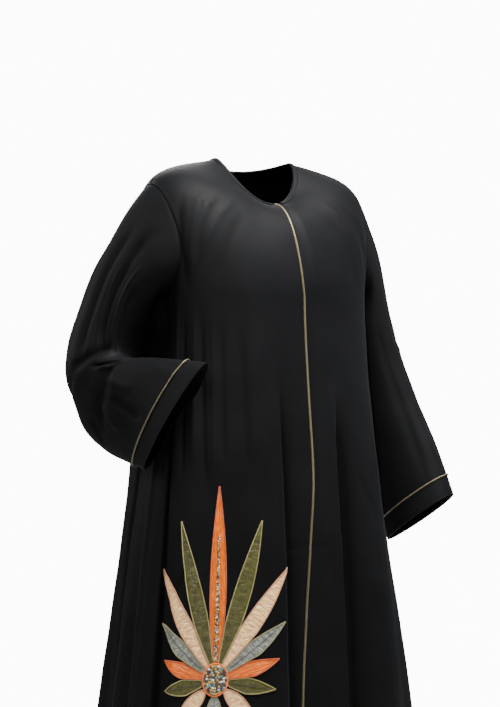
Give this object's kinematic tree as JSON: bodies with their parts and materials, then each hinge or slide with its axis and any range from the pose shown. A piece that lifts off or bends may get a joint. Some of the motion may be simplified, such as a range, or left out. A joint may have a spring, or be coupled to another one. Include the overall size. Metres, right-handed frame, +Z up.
{
  "type": "abaya cloak",
  "caption": "Long black wide-sleeved abaya cloak as worn, hollow, lapped at the front, with metallic cord at the front edge and cuffs and a beaded satin flower low on the front.",
  "frame": {"origin": "midway between the two points where the shoulders meet the neck, where the wearer holds the cloak up", "axes": "+Z up, +X towards the wearer's left, -Y towards the front"},
  "size_m": [0.7087, 0.4563, 1.4222],
  "materials": {
    "cloth": "fine crepe with a soft satin sheen",
    "cord": "twisted antique gold metallic cord",
    "orange": "crinkled satin",
    "olive": "crinkled satin",
    "peach": "crinkled satin",
    "silver": "crinkled satin",
    "beads": "mixed glass beads in gold, brown, teal and white"
  },
  "bodies": {
    "root": {"front_right": "cloth", "front_left": "cloth", "back": "cloth", "sleeve_right": "cloth", "sleeve_left": "cloth", "cuff_band_right": "cloth", "cuff_band_left": "cloth", "neck_binding": "cloth", "front_cord": "cord", "cuff_cord_right": "cord", "cuff_cord_left": "cord", "petal_middle_000": "orange", "petal_left_015": "olive", "petal_right_015": "olive", "petal_left_032": "peach", "petal_right_032": "peach", "petal_left_051": "silver", "petal_right_051": "silver", "petal_left_075": "orange", "petal_right_075": "orange", "petal_left_103": "olive", "petal_right_103": "olive", "petal_left_137": "peach", "petal_right_137": "peach", "petal_middle_180": "silver", "flower_middle": "beads"}
  },
  "joints": []
}
